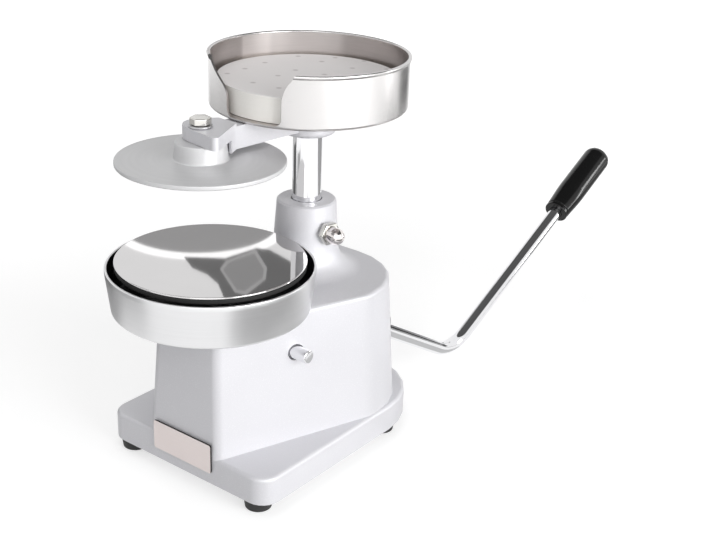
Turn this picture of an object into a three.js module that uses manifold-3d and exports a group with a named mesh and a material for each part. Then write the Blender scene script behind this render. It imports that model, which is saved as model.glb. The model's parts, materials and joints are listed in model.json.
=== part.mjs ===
// Burger press: a narrow cast body with a bowl on its deck, a post that carries a pressing plate on an arm
// and a tray of paper discs, and a bent lever. Millimetres, +Z up, the bowl towards -Y, the lever towards +Y.
import * as THREE from "three";
import { mergeVertices } from "three/addons/utils/BufferGeometryUtils.js";
import Module from "manifold-3d";

const wasm = await Module();
wasm.setup();

// Clearances shared by every joint between two pieces.
const GAP = 0.3; // seats that touch, and pins that stay in their holes
const RUN = 0.15; // a shaft that turns or slides in its bush
const CUT = 1; // how far a cutter overruns the face that it opens

// Facets of round shapes.
const FINE = 48;
const MID = 24;
const COARSE = 12;
const CORNER_STEPS = 6;
const EDGE_STEPS = 4;

// Feet and base slab.
const FOOT = { height: 7.7, bottomR: 9.2, topR: 10.4, recessR: 4.6, recess: 4 };
// How far the feet stand in from the slab's sides and from its front and rear.
const FOOT_INSET = { frontSide: 15.5, front: 11, rearSide: 14, rear: 48 };
const BASE = {
  bottom: FOOT.height + GAP,
  height: 20.7,
  half: 76,
  front: -129.5,
  rear: 68,
  frontCorner: 14,
  rearFlatHalf: 19,
  edge: 3,
  wall: 7,
  roof: 5,
};
BASE.top = BASE.bottom + BASE.height;
BASE.rearCorner = BASE.half - BASE.rearFlatHalf;

// Housing on the slab: a wedge in plan that narrows a little towards its deck.
const HOUSING = {
  footFrontHalf: 33,
  deckFrontHalf: 28,
  footFront: BASE.front,
  deckFront: -124.5,
  // How far its sides stand in from the slab's at their foot.
  footIn: 2,
  deckHalf: 69,
  shoulder: -12,
  footRear: 55,
  deckRear: 50,
  frontCorner: 8,
  shoulderCorner: 28,
  rearFlatHalf: 18,
  sideFlat: 6,
  deck: 125,
  edge: 3,
  wall: 5,
  roof: 4,
};
HOUSING.footHalf = BASE.half - HOUSING.footIn;
HOUSING.ceiling = HOUSING.deck - HOUSING.roof;
HOUSING.rearCorner = Math.min(
  HOUSING.footHalf - HOUSING.rearFlatHalf,
  HOUSING.deckRear - HOUSING.shoulder - HOUSING.sideFlat,
);

// Post, and the neck that guides it.
const POST = { r: 10.8, top: 247.7 };
const NECK = { top: 177.8, r: 21.8, rootR: 24, flareR: 42, bore: 13.5, edge: 1.2, cap: 2.5, mouth: 0.6 };
const BUSH = { length: 12 };

// Bowl.
const BOWL = {
  y: -99.5,
  floor: 4,
  height: 31.2,
  rimR: 71.1,
  rimWall: 3.4,
  footDraw: 3.5,
  innerDraw: 1.9,
  lip: 3,
  round: 2.2,
};
BOWL.bottom = HOUSING.deck + GAP;
BOWL.floorTop = BOWL.bottom + BOWL.floor;
BOWL.rim = BOWL.bottom + BOWL.height;
BOWL.footR = BOWL.rimR - BOWL.footDraw;
BOWL.innerR = BOWL.rimR - BOWL.rimWall;
BOWL.innerFootR = BOWL.innerR - BOWL.innerDraw;

// Fixed disc in the bowl, on a column that stands on the deck. Its thin lip covers a seal round its core.
const DISC = { play: 2.9, proud: 3.8, lip: 1.4, lipWidth: 4.8, thick: 4.7, hubR: 9, hub: 2.3, edge: 0.3 };
DISC.top = BOWL.rim + DISC.proud;
DISC.r = BOWL.innerR - DISC.play;
DISC.coreR = DISC.r - DISC.lipWidth;
const SEAL = { inset: 0.2 };
const COLUMN = { r: 8, spigotR: 6, nutFlat: 14, nut: 5, end: 1 };

// Carriage that the lever moves, with the post's foot in it.
const STROKE = 49;
const CARRIAGE = {
  bottom: 84.2,
  thick: 8,
  corner: 5,
  bossR: 14.4,
  boss: 14,
  yokeInner: 17.5,
  yoke: 6,
  yokeWall: 3.2,
};
CARRIAGE.top = CARRIAGE.bottom + CARRIAGE.thick;
POST.bottom = CARRIAGE.top + GAP;
const RETAINER = { r: 2.5, groove: 1.6 };

// Rocker on the pin seen in the housing's side. The carriage pushes its rear arm down and its noses lift the bowl.
const ROCKER_PIN = { r: 5.7, y: -69, z: 95, left: -51.5, shoulder: 47, right: 62, endR: 4.9, edge: 0.6 };
const ROCKER = {
  lift: 8, // degrees that the rear arm stands above level at rest
  hubR: 10,
  left: -30,
  right: 22,
  armThick: 5.5,
  armHalf: 6,
  eyeR: 7.5,
  linkR: 4,
  linkInner: 16.5,
  noseHalf: 4,
  noseR: 5,
  slack: 1.3, // lost motion of the link pin in its slot, because the joints keep a constant ratio
  rear: -ROCKER_PIN.y,
  front: ROCKER_PIN.y - BOWL.y,
};
BOWL.rise = (STROKE * ROCKER.front) / ROCKER.rear;

// Rods that carry the bowl, on the rocker's noses, and their bushes in the deck.
const LIFT_ROD = { x: 16, r: 4, play: 0.8, spigotR: 2.5, nutFlat: 8, nut: 3, end: 0.4 };
const LIFT_BUSH = { r: 6, lipR: 7.5, lip: 1.6 };

// Lever: its hub, the bent bar and the grip. Angles are from +Y towards +Z.
const LEVER = {
  x: 50,
  y: 22,
  z: 82.6,
  barR: 5.75,
  bendY: 131.8,
  down: -30.2,
  up: 25.8,
  bendR: 47,
  hubR: 13,
  hubHalf: 6.2,
  root: 8.5,
  swing: 75,
  steps: 40,
};
const GRIP = { start: 187, length: 82, endR: 10.8, bodyR: 12.3, taper: 22, round: 9, wall: 12, lipR: 10.7, lip: 3.5 };
const SHAFT = {
  r: 7,
  left: -48,
  right: 55.4,
  bushR: 9.5,
  collarR: 11,
  collar: 4,
  ribHalf: 3.2,
  ribX: 38.6,
  ribFront: 8,
  ribRear: 34,
  ribBottom: 68,
};
const CRANK = { x: 29.6, half: 4, lift: 20, eyeR: 10.5, tipR: 9, pinR: 5, pinInner: 16.5 };
CRANK.length =
  STROKE / (Math.sin(THREE.MathUtils.degToRad(CRANK.lift)) + Math.sin(THREE.MathUtils.degToRad(LEVER.swing - CRANK.lift)));
CRANK.slack = 3; // lost motion of the pin in its slot, because the two joints keep a constant ratio
const SLOT = { half: 7.8, bottom: 62, top: 110, inner: 3 };

// Clamp screw in the neck's side.
const CLAMP = { z: 158, turn: -11, r: 4, nutFlat: 15.5, nut: 4.6, headR: 6.3, head: 11 };

// Turret: what turns with the post.
const TURRET_TURN = -5; // degrees from straight over the bowl, as photographed
const ARM = {
  hubR: 20,
  hubBottom: 227.5,
  bottom: 232,
  top: POST.top,
  half: 8.6,
  padBottom: 241,
  padTop: 250,
  barEnd: 79,
  webEnd: 85,
  webPlay: 0.6,
  hubRound: 3,
};
// The pad at the arm's end: a corner on the lever's side and a round end on the other, across the arm and along it.
const PAD = { root: 76, cornerAcross: 25.5, cornerAlong: 110, cornerR: 3, endAcross: -4, endAlong: 93.5, endR: 14 };
const ARM_SCREW = { r: 3, length: 8 };
const PRESSER = { inset: 8.3, bottom: 225.5, thick: 3.2, edge: 0.8, bossR: 18, bossTopR: 17 };
PRESSER.top = PRESSER.bottom + PRESSER.thick;
PRESSER.r = DISC.r - PRESSER.inset;
const BOLT = { r: 4, headR: 7.3, head: 4.8, round: 1.2, washerR: 7.9, washer: 1.3, engage: 12 };

// Tray of paper discs on top of the post.
const PAPER = { inset: 0.3, height: 18 };
PAPER.r = DISC.r - PAPER.inset;
const TRAY = { floor: 2, height: 37, play: 3.1, wall: 2.6, lipOut: 1.1, lip: 2.5, round: 2 };
TRAY.innerR = PAPER.r + TRAY.play;
TRAY.footR = TRAY.innerR + TRAY.wall;
TRAY.rimR = TRAY.footR + TRAY.lipOut;
TRAY.bottom = POST.top + GAP;
TRAY.floorTop = TRAY.bottom + TRAY.floor;
TRAY.rim = TRAY.bottom + TRAY.height;
// The tray's notch: where its two sides stand below, how far they spread at the rim, and how high they bend.
const NOTCH = { left: -8, right: 35, leftTop: -37, rightTop: 43, leftKnee: 20, rightKnee: 24.5, corner: 4, back: 47 };
const TRAY_SCREW = { r: 3, headR: 6, head: 3, length: 14 };

// Cover under the slab, and the nameplate.
const COVER = { thick: 2 };
const FOOT_SCREW = { r: 2.2, headR: 4, head: 2.6, length: 19 };
const FEET = [1, -1].flatMap((end) =>
  [1, -1].map((side) => {
    const inset = end > 0 ? FOOT_INSET.frontSide : FOOT_INSET.rearSide;
    const y = end > 0 ? BASE.front + FOOT_INSET.front : BASE.rear - FOOT_INSET.rear;
    return [side * (BASE.half - inset), y];
  }),
);
const BOSS_R = 8;
const PLATE = { half: 27.5, bottom: 17, top: 39, thick: 1.2, corner: 1.5 };

const deg = THREE.MathUtils.degToRad;

// Solids: a closed geometry becomes a manifold, and back.
function solid(geometry) {
  const bare = geometry.index ? geometry.toNonIndexed() : geometry.clone();
  bare.deleteAttribute("normal");
  bare.deleteAttribute("uv");
  const merged = mergeVertices(bare, 1e-4);
  const make = (triVerts) =>
    new wasm.Manifold(
      new wasm.Mesh({ numProp: 3, vertProperties: merged.attributes.position.array, triVerts }),
    );
  const faces = new Uint32Array(merged.index.array);
  const made = make(faces);
  return made.volume() < 0 ? make(faces.reverse()) : made;
}

function geometryOf(made) {
  const mesh = made.getMesh();
  const geometry = new THREE.BufferGeometry();
  geometry.setAttribute("position", new THREE.BufferAttribute(new Float32Array(mesh.vertProperties), mesh.numProp));
  geometry.setIndex(new THREE.BufferAttribute(new Uint32Array(mesh.triVerts), 1));
  const flat = geometry.toNonIndexed();
  flat.computeVertexNormals();
  return flat;
}

const join = (first, ...rest) => rest.reduce((all, one) => all.add(one), first);
const cut = (first, ...rest) => rest.reduce((all, one) => all.subtract(one), first);

function box(x0, x1, y0, y1, z0, z1) {
  const geometry = new THREE.BoxGeometry(x1 - x0, y1 - y0, z1 - z0);
  return solid(geometry.translate((x0 + x1) / 2, (y0 + y1) / 2, (z0 + z1) / 2));
}

// A cylinder or cone along Z, from z0 to z1.
function rod(r0, r1, z0, z1, sides = MID) {
  const geometry = new THREE.CylinderGeometry(r1, r0, z1 - z0, sides);
  return solid(geometry.rotateX(Math.PI / 2).translate(0, 0, (z0 + z1) / 2));
}

// The same along X, through y and z.
function crossRod(r, x0, x1, y, z, sides = MID) {
  const geometry = new THREE.CylinderGeometry(r, r, x1 - x0, sides);
  return solid(geometry.rotateZ(-Math.PI / 2).translate((x0 + x1) / 2, y, z));
}

// A profile of [radius, height] pairs turned about Z.
function turned(profile, sides = FINE) {
  const points = profile.map(([r, z]) => new THREE.Vector2(r, z));
  const last = profile[profile.length - 1];
  const closed = profile[0][0] > 0 || last[0] > 0;
  if (closed) points.push(points[0].clone());
  return solid(new THREE.LatheGeometry(points, sides).rotateX(Math.PI / 2));
}

// A quarter round from angle a0 to a1 about a centre, for profiles.
function arc(cx, cy, r, a0, a1, steps = CORNER_STEPS) {
  return Array.from({ length: steps + 1 }, (_, i) => {
    const a = deg(a0 + ((a1 - a0) * i) / steps);
    return [cx + r * Math.cos(a), cy + r * Math.sin(a)];
  });
}

// A polygon of [x, y, radius] corners, counterclockwise, with each corner rounded in the same number of steps.
function rounded(corners, steps = CORNER_STEPS) {
  return corners.flatMap(([x, y, r], i) => {
    const here = new THREE.Vector2(x, y);
    const before = corners[(i + corners.length - 1) % corners.length];
    const after = corners[(i + 1) % corners.length];
    const back = new THREE.Vector2(before[0], before[1]).sub(here).normalize();
    const on = new THREE.Vector2(after[0], after[1]).sub(here).normalize();
    const half = Math.acos(THREE.MathUtils.clamp(back.dot(on), -1, 1)) / 2;
    const middle = here.clone().add(back.clone().add(on).normalize().multiplyScalar(r / Math.sin(half)));
    const start = here.clone().addScaledVector(back, r / Math.tan(half)).sub(middle);
    const turn = Math.PI - 2 * half;
    return Array.from({ length: steps + 1 }, (_, k) => {
      const spoke = start.clone().rotateAround(new THREE.Vector2(), (turn * k) / steps);
      return [middle.x + spoke.x, middle.y + spoke.y];
    });
  });
}

// An outline of [x, y] points raised from z0 to z1.
function raised(outline, z0, z1) {
  const shape = new THREE.Shape(outline.map(([x, y]) => new THREE.Vector2(x, y)));
  return solid(new THREE.ExtrudeGeometry(shape, { depth: z1 - z0, bevelEnabled: false }).translate(0, 0, z0));
}

// A skin over rings of equally many points, each ring { z, outline }, closed at both ends.
function loft(rings) {
  const count = rings[0].outline.length;
  const positions = rings.flatMap(({ z, outline }) => outline.flatMap(([x, y]) => [x, y, z]));
  const faces = [];
  for (let level = 0; level + 1 < rings.length; level++)
    for (let i = 0; i < count; i++) {
      const a = level * count + i;
      const b = level * count + ((i + 1) % count);
      faces.push(a, b, b + count, a, b + count, a + count);
    }
  const flat = rings[0].outline.map(([x, y]) => new THREE.Vector2(x, y));
  const top = (rings.length - 1) * count;
  for (const [a, b, c] of THREE.ShapeUtils.triangulateShape(flat, [])) {
    faces.push(a, c, b);
    faces.push(top + a, top + b, top + c);
  }
  const geometry = new THREE.BufferGeometry();
  geometry.setAttribute("position", new THREE.Float32BufferAttribute(positions, 3));
  geometry.setIndex(faces);
  return solid(geometry);
}

// A prism with equal flats, across-flats size given, along Z.
const hexagon = (flats, z0, z1) => rod(flats / Math.sqrt(3), flats / Math.sqrt(3), z0, z1, 6);

// Materials.
const metal = (color, roughness) => new THREE.MeshStandardMaterial({ color, roughness, metalness: 1 });
const dull = (color, roughness) => new THREE.MeshStandardMaterial({ color, roughness, metalness: 0 });
const LOOKS = {
  casting: dull(0xd9dadc, 0.4),
  satin: metal(0xbfc0c2, 0.35),
  mirror: metal(0xd8d9db, 0.06),
  chrome: metal(0xdedfe2, 0.08),
  steel: metal(0x9a9ca0, 0.3),
  bronze: metal(0xa9803f, 0.4),
  grip: dull(0x141416, 0.2),
  rubber: dull(0x161616, 0.8),
  paper: dull(0xf1efe8, 0.9),
  label: metal(0xcbb9b4, 0.4),
};

const press = new THREE.Group();
function add(parent, name, made, look) {
  const mesh = new THREE.Mesh(geometryOf(made), LOOKS[look]);
  mesh.name = name;
  parent.add(mesh);
  return mesh;
}

// Outlines of the slab and the housing, drawn in by an inset.
function slabOutline(inset) {
  const side = BASE.half - inset;
  const front = BASE.front + inset;
  const rear = BASE.rear - inset;
  return rounded([
    [-side, front, BASE.frontCorner - inset],
    [side, front, BASE.frontCorner - inset],
    [side, rear, BASE.rearCorner - inset],
    [-side, rear, BASE.rearCorner - inset],
  ]);
}

function housingOutline(level, inset) {
  const mix = (foot, deck) => THREE.MathUtils.lerp(foot, deck, level);
  const frontHalf = mix(HOUSING.footFrontHalf, HOUSING.deckFrontHalf) - inset;
  const front = mix(HOUSING.footFront, HOUSING.deckFront) + inset;
  const side = mix(HOUSING.footHalf, HOUSING.deckHalf) - inset;
  const rear = mix(HOUSING.footRear, HOUSING.deckRear) - inset;
  const corner = HOUSING.rearCorner - inset;
  return rounded([
    [-frontHalf, front, HOUSING.frontCorner - Math.min(inset, HOUSING.edge)],
    [frontHalf, front, HOUSING.frontCorner - Math.min(inset, HOUSING.edge)],
    [side, HOUSING.shoulder, HOUSING.shoulderCorner],
    [side, rear, corner],
    [-side, rear, corner],
    [-side, HOUSING.shoulder, HOUSING.shoulderCorner],
  ]);
}

function clampCutter(r, length) {
  const cutter = new THREE.CylinderGeometry(r, r, length, COARSE).rotateZ(-Math.PI / 2).translate(length / 2, 0, 0);
  return solid(cutter.rotateZ(deg(CLAMP.turn)).translate(0, 0, CLAMP.z));
}

// The rings of a rounded upper edge: how far in each lies, and how high.
const edgeRings = (top, edge) => arc(0, top - edge, edge, 0, 90, EDGE_STEPS).map(([across, z]) => [edge - across, z]);

function baseCasting() {
  const slab = loft([
    { z: BASE.bottom, outline: slabOutline(0) },
    ...edgeRings(BASE.top, BASE.edge).map(([inset, z]) => ({ z, outline: slabOutline(inset) })),
  ]);
  const levelOf = (z) => (z - BASE.top) / (HOUSING.deck - BASE.top);
  const housing = loft([
    { z: BASE.top - BASE.edge, outline: housingOutline(0, 0) },
    { z: BASE.top, outline: housingOutline(0, 0) },
    ...edgeRings(HOUSING.deck, HOUSING.edge).map(([inset, z]) => ({ z, outline: housingOutline(levelOf(z), inset) })),
  ]);
  const flare = arc(NECK.flareR, HOUSING.deck + NECK.flareR - NECK.rootR, NECK.flareR - NECK.rootR, 270, 180);
  const neck = turned([
    [0, HOUSING.ceiling],
    [NECK.flareR, HOUSING.ceiling],
    ...flare,
    [NECK.r, NECK.top - NECK.edge],
    [NECK.r - NECK.edge, NECK.top],
    [0, NECK.top],
  ]);
  const slabHollow = loft([
    { z: BASE.bottom - CUT, outline: slabOutline(BASE.wall) },
    { z: BASE.top - BASE.roof, outline: slabOutline(BASE.wall) },
  ]);
  const hollow = loft([
    { z: BASE.bottom - CUT, outline: housingOutline(0, HOUSING.wall + HOUSING.edge) },
    { z: HOUSING.ceiling, outline: housingOutline(1, HOUSING.wall) },
  ]);
  const rib = (side) =>
    box(
      side * SHAFT.ribX - SHAFT.ribHalf,
      side * SHAFT.ribX + SHAFT.ribHalf,
      SHAFT.ribFront,
      SHAFT.ribRear,
      SHAFT.ribBottom,
      HOUSING.ceiling + CUT,
    );
  const bossFoot = BASE.bottom + COVER.thick + GAP;
  const footBoss = rod(BOSS_R, BOSS_R, bossFoot, BASE.top - BASE.edge, COARSE);
  const footHole = rod(FOOT_SCREW.r + GAP, FOOT_SCREW.r + GAP, BASE.bottom - CUT, BASE.top - BASE.roof, COARSE);
  const shell = cut(join(slab, housing, neck), slabHollow, hollow);
  const filled = join(shell, rib(1), rib(-1), ...FEET.map(([x, y]) => footBoss.translate([x, y, 0])));
  const deckHole = (r, x) => rod(r, r, HOUSING.ceiling - CUT, HOUSING.deck + CUT).translate([x, BOWL.y, 0]);
  const slot = box(
    LEVER.x - SLOT.half,
    LEVER.x + SLOT.half,
    SLOT.inner,
    HOUSING.footRear + CUT,
    SLOT.bottom,
    SLOT.top,
  );
  const bowlRoom = rod(BOWL.rimR + GAP, BOWL.rimR + GAP, HOUSING.deck, BOWL.rim, FINE).translate([0, BOWL.y, 0]);
  return cut(
    filled,
    rod(NECK.bore + GAP, NECK.bore + GAP, HOUSING.ceiling - CUT, NECK.top - NECK.cap, FINE),
    rod(POST.r + NECK.mouth, POST.r + NECK.mouth, HOUSING.ceiling, NECK.top + CUT, FINE),
    deckHole(COLUMN.spigotR + GAP, 0),
    deckHole(LIFT_BUSH.r + GAP, LIFT_ROD.x),
    deckHole(LIFT_BUSH.r + GAP, -LIFT_ROD.x),
    bowlRoom,
    slot,
    crossRod(ROCKER_PIN.r + GAP, -BASE.half, BASE.half, ROCKER_PIN.y, ROCKER_PIN.z),
    crossRod(SHAFT.bushR + GAP, -SHAFT.ribX - SHAFT.ribHalf - CUT, SHAFT.ribX + SHAFT.ribHalf + CUT, LEVER.y, LEVER.z),
    clampCutter(CLAMP.r + GAP, NECK.flareR),
    ...FEET.map(([x, y]) => footHole.translate([x, y, 0])),
  );
}

// Root body: what stands still.
function addBase(parent) {
  add(parent, "base_casting", baseCasting(), "casting");
  const screwHole = rod(FOOT_SCREW.r + GAP, FOOT_SCREW.r + GAP, 0, BASE.top, COARSE);
  const cover = raised(slabOutline(BASE.wall + GAP), BASE.bottom, BASE.bottom + COVER.thick);
  add(parent, "bottom_cover", cut(cover, ...FEET.map(([x, y]) => screwHole.translate([x, y, 0]))), "steel");
  FEET.forEach(([x, y], i) => {
    const foot = cut(
      rod(FOOT.bottomR, FOOT.topR, 0, FOOT.height, COARSE),
      rod(FOOT.recessR, FOOT.recessR, -CUT, FOOT.recess, COARSE),
      screwHole,
    );
    add(parent, `foot_${i + 1}`, foot, "rubber").position.set(x, y, 0);
    const headTop = FOOT.recess - GAP;
    const screw = join(
      rod(FOOT_SCREW.headR, FOOT_SCREW.headR, headTop - FOOT_SCREW.head, headTop, COARSE),
      rod(FOOT_SCREW.r, FOOT_SCREW.r, headTop - FOOT_SCREW.head, headTop + FOOT_SCREW.length, COARSE),
    );
    add(parent, `foot_screw_${i + 1}`, screw, "steel").position.set(x, y, 0);
  });
  const label = rounded([
    [-PLATE.half, PLATE.bottom, PLATE.corner],
    [PLATE.half, PLATE.bottom, PLATE.corner],
    [PLATE.half, PLATE.top, PLATE.corner],
    [-PLATE.half, PLATE.top, PLATE.corner],
  ]);
  const nameplate = raised(label, 0, PLATE.thick).rotate([90, 0, 0]);
  add(parent, "nameplate", nameplate, "label").position.y = BASE.front - GAP;
  const pin = turned(
    [
      [0, ROCKER_PIN.left],
      [ROCKER_PIN.r - ROCKER_PIN.edge, ROCKER_PIN.left],
      [ROCKER_PIN.r, ROCKER_PIN.left + ROCKER_PIN.edge],
      [ROCKER_PIN.r, ROCKER_PIN.shoulder],
      [ROCKER_PIN.endR, ROCKER_PIN.shoulder],
      [ROCKER_PIN.endR, ROCKER_PIN.right - ROCKER_PIN.edge],
      [ROCKER_PIN.endR - ROCKER_PIN.edge, ROCKER_PIN.right],
      [0, ROCKER_PIN.right],
    ],
    MID,
  );
  const axle = add(parent, "rocker_pin", pin, "chrome");
  axle.position.set(0, ROCKER_PIN.y, ROCKER_PIN.z);
  axle.rotation.y = Math.PI / 2;
  for (const [name, side] of [["right", 1], ["left", -1]]) {
    const ring = cut(
      crossRod(SHAFT.bushR, -SHAFT.ribHalf, SHAFT.ribHalf, 0, 0),
      crossRod(SHAFT.r + RUN, -SHAFT.ribHalf - CUT, SHAFT.ribHalf + CUT, 0, 0),
    );
    add(parent, `shaft_bush_${name}`, ring, "bronze").position.set(side * SHAFT.ribX, LEVER.y, LEVER.z);
  }
}

function addNeck(parent) {
  const bore = rod(POST.r + RUN, POST.r + RUN, HOUSING.ceiling - CUT, NECK.top, FINE);
  const upperTop = NECK.top - NECK.cap - GAP;
  const upper = rod(NECK.bore, NECK.bore, upperTop - BUSH.length, upperTop, FINE);
  add(parent, "neck_bush_upper", cut(upper, bore), "bronze");
  const lower = rod(NECK.bore, NECK.bore, HOUSING.ceiling, HOUSING.ceiling + BUSH.length, FINE);
  add(parent, "neck_bush_lower", cut(lower, bore), "bronze");
  const side = new THREE.Group();
  side.position.z = CLAMP.z;
  side.rotation.z = deg(CLAMP.turn);
  parent.add(side);
  const face = NECK.rootR + GAP;
  const nutEnd = face + CLAMP.nut;
  const nut = cut(hexagon(CLAMP.nutFlat, face, nutEnd), rod(CLAMP.r + GAP, CLAMP.r + GAP, face - CUT, nutEnd + CUT, COARSE));
  add(side, "clamp_nut", nut, "chrome").rotation.y = Math.PI / 2;
  const headStart = nutEnd + GAP;
  const dome = turned(
    [
      [0, headStart],
      [CLAMP.headR, headStart],
      ...arc(0, headStart + CLAMP.head - CLAMP.headR, CLAMP.headR, 0, 80),
      [0, headStart + CLAMP.head],
    ],
    MID,
  );
  const screw = join(rod(CLAMP.r, CLAMP.r, POST.r + GAP, headStart + CUT, COARSE), dome);
  add(side, "clamp_screw", screw, "chrome").rotation.y = Math.PI / 2;
}

function addDisc(parent) {
  const place = new THREE.Group();
  place.position.y = BOWL.y;
  parent.add(place);
  const under = DISC.top - DISC.thick;
  const lipUnder = DISC.top - DISC.lip;
  const plate = turned([
    [0, under],
    [DISC.coreR, under],
    [DISC.coreR, lipUnder],
    [DISC.r, lipUnder],
    [DISC.r, DISC.top - DISC.edge],
    [DISC.r - DISC.edge, DISC.top],
    [0, DISC.top],
  ]);
  const hub = rod(DISC.hubR, DISC.hubR, under - DISC.hub, under + DISC.edge);
  const seat = rod(COLUMN.spigotR + GAP, COLUMN.spigotR + GAP, under - DISC.hub - CUT, under);
  add(place, "disc", cut(join(plate, hub), seat), "mirror");
  const seal = turned([
    [DISC.coreR + GAP, under],
    [DISC.r - SEAL.inset, under],
    [DISC.r - SEAL.inset, lipUnder - GAP],
    [DISC.coreR + GAP, lipUnder - GAP],
  ]);
  add(place, "disc_seal", seal, "rubber");
  const nutTop = HOUSING.ceiling - GAP;
  const spigot = rod(COLUMN.spigotR, COLUMN.spigotR, nutTop - COLUMN.nut - COLUMN.end, under - GAP);
  const pillar = rod(COLUMN.r, COLUMN.r, HOUSING.deck + GAP, under - DISC.hub - GAP);
  add(place, "disc_column", join(spigot, pillar), "steel");
  const nut = cut(
    hexagon(COLUMN.nutFlat, nutTop - COLUMN.nut, nutTop),
    rod(COLUMN.spigotR + GAP, COLUMN.spigotR + GAP, nutTop - COLUMN.nut - CUT, nutTop + CUT),
  );
  add(place, "column_nut", nut, "steel");
  for (const [name, side] of [["right", 1], ["left", -1]]) {
    const lipTop = HOUSING.ceiling - GAP;
    const bush = cut(
      join(
        rod(LIFT_BUSH.lipR, LIFT_BUSH.lipR, lipTop - LIFT_BUSH.lip, lipTop),
        rod(LIFT_BUSH.r, LIFT_BUSH.r, lipTop - LIFT_BUSH.lip, HOUSING.deck),
      ),
      rod(LIFT_ROD.r + RUN, LIFT_ROD.r + RUN, lipTop - LIFT_BUSH.lip - CUT, HOUSING.deck + CUT),
    );
    add(place, `lift_bush_${name}`, bush, "bronze").position.x = side * LIFT_ROD.x;
  }
}

// Bowl body: the bowl and the two rods that lift it.
function addBowl(parent) {
  const bowl = new THREE.Group();
  bowl.position.y = BOWL.y;
  parent.add(bowl);
  const cup = turned([
    [COLUMN.r + GAP, BOWL.bottom],
    [BOWL.footR - BOWL.round, BOWL.bottom],
    [BOWL.footR, BOWL.bottom + BOWL.round],
    [BOWL.rimR - BOWL.round, BOWL.rim - BOWL.lip - BOWL.round],
    [BOWL.rimR, BOWL.rim - BOWL.lip],
    [BOWL.rimR, BOWL.rim],
    [BOWL.innerR, BOWL.rim],
    [BOWL.innerFootR, BOWL.floorTop],
    [COLUMN.r + GAP, BOWL.floorTop],
  ]);
  const spigotHole = rod(LIFT_ROD.spigotR + GAP, LIFT_ROD.spigotR + GAP, BOWL.bottom - CUT, BOWL.floorTop + CUT, COARSE);
  const holes = [1, -1].map((side) => spigotHole.translate([side * LIFT_ROD.x, 0, 0]));
  add(bowl, "bowl", cut(cup, ...holes), "satin");
  const noseTop = ROCKER_PIN.z - ROCKER.front * Math.sin(deg(ROCKER.lift)) + ROCKER.noseR;
  const nutBottom = BOWL.floorTop + GAP;
  const nutTop = nutBottom + LIFT_ROD.nut;
  for (const [name, side] of [["right", 1], ["left", -1]]) {
    const liftRod = join(
      rod(LIFT_ROD.r, LIFT_ROD.r, noseTop + LIFT_ROD.play, BOWL.bottom - GAP),
      rod(LIFT_ROD.spigotR, LIFT_ROD.spigotR, BOWL.bottom - GAP - CUT, nutTop + LIFT_ROD.end, COARSE),
    );
    add(bowl, `lift_rod_${name}`, liftRod, "steel").position.x = side * LIFT_ROD.x;
    const nut = cut(
      hexagon(LIFT_ROD.nutFlat, nutBottom, nutTop),
      rod(LIFT_ROD.spigotR + GAP, LIFT_ROD.spigotR + GAP, nutBottom - CUT, nutTop + CUT, COARSE),
    );
    add(bowl, `lift_nut_${name}`, nut, "steel").position.x = side * LIFT_ROD.x;
  }
}

// Rocker body: a two-armed lever whose group sits on its pin.
function addRocker(parent) {
  const rocker = new THREE.Group();
  rocker.position.set(0, ROCKER_PIN.y, ROCKER_PIN.z);
  parent.add(rocker);
  const linkY = ROCKER.rear * Math.cos(deg(ROCKER.lift));
  const linkZ = ROCKER.rear * Math.sin(deg(ROCKER.lift));
  const noseY = -ROCKER.front * Math.cos(deg(ROCKER.lift));
  const noseZ = -ROCKER.front * Math.sin(deg(ROCKER.lift));
  const armEnd = ROCKER.left + ROCKER.armThick;
  const rearArm = box(ROCKER.left, armEnd, 0, ROCKER.rear, -ROCKER.armHalf, ROCKER.armHalf);
  const frontArms = [1, -1].flatMap((side) => {
    const inner = side * LIFT_ROD.x - ROCKER.noseHalf;
    const outer = side * LIFT_ROD.x + ROCKER.noseHalf;
    const arm = box(inner, outer, -ROCKER.front, 0, -ROCKER.noseR, ROCKER.noseR).rotate([ROCKER.lift, 0, 0]);
    return [arm, crossRod(ROCKER.noseR, inner, outer, noseY, noseZ)];
  });
  const body = cut(
    join(
      crossRod(ROCKER.hubR, ROCKER.left, ROCKER.right, 0, 0),
      rearArm.rotate([ROCKER.lift, 0, 0]),
      crossRod(ROCKER.eyeR, ROCKER.left, armEnd, linkY, linkZ),
      ...frontArms,
    ),
    crossRod(ROCKER_PIN.r + RUN, ROCKER.left - CUT, ROCKER.right + CUT, 0, 0),
    crossRod(ROCKER.linkR + GAP, ROCKER.left - CUT, armEnd + CUT, linkY, linkZ),
  );
  add(rocker, "rocker", body, "steel");
  add(rocker, "link_pin", crossRod(ROCKER.linkR, ROCKER.left, -ROCKER.linkInner, linkY, linkZ, COARSE), "steel");
}

// A yoke of the carriage: a cheek from x0 to x1 with a slot for a pin that wanders from y0 to y1 under z.
function yoke(x0, x1, y0, y1, z, room, slack) {
  const wall = CARRIAGE.yokeWall;
  return {
    cheek: box(x0, x1, y0 - room - wall, y1 + room + wall, CARRIAGE.bottom, z + room + wall),
    slot: box(x0 - CUT, x1 + CUT, y0 - room, y1 + room, z - room - slack, z + room),
  };
}

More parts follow.
